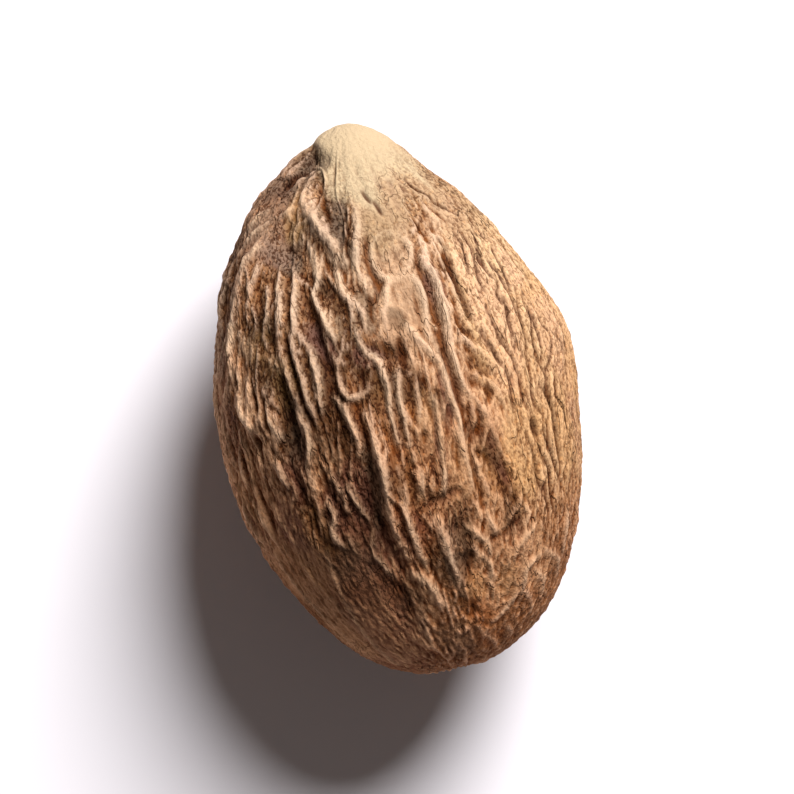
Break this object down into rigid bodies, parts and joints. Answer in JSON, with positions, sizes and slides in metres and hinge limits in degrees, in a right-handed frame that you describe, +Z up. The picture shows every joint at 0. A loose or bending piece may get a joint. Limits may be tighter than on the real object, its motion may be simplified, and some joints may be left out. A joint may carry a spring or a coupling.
{
  "type": "whole nutmeg",
  "caption": "Whole dried nutmeg lying on its side: a lemon-shaped, deeply wrinkled brown seed with a smooth pale button at its pointed end.",
  "frame": {"origin": "on the surface the seed lies on, under the middle of its box", "axes": "+Z up, +Y along the seed's length towards the pale pointed end, +X across it"},
  "size_m": [0.0198, 0.03, 0.0189],
  "materials": {
    "seed_shell": "dry matt seed surface, mid brown with paler wrinkle crests and a cream button at the pointed end"
  },
  "bodies": {
    "root": {"nutmeg": "seed_shell"}
  },
  "joints": []
}
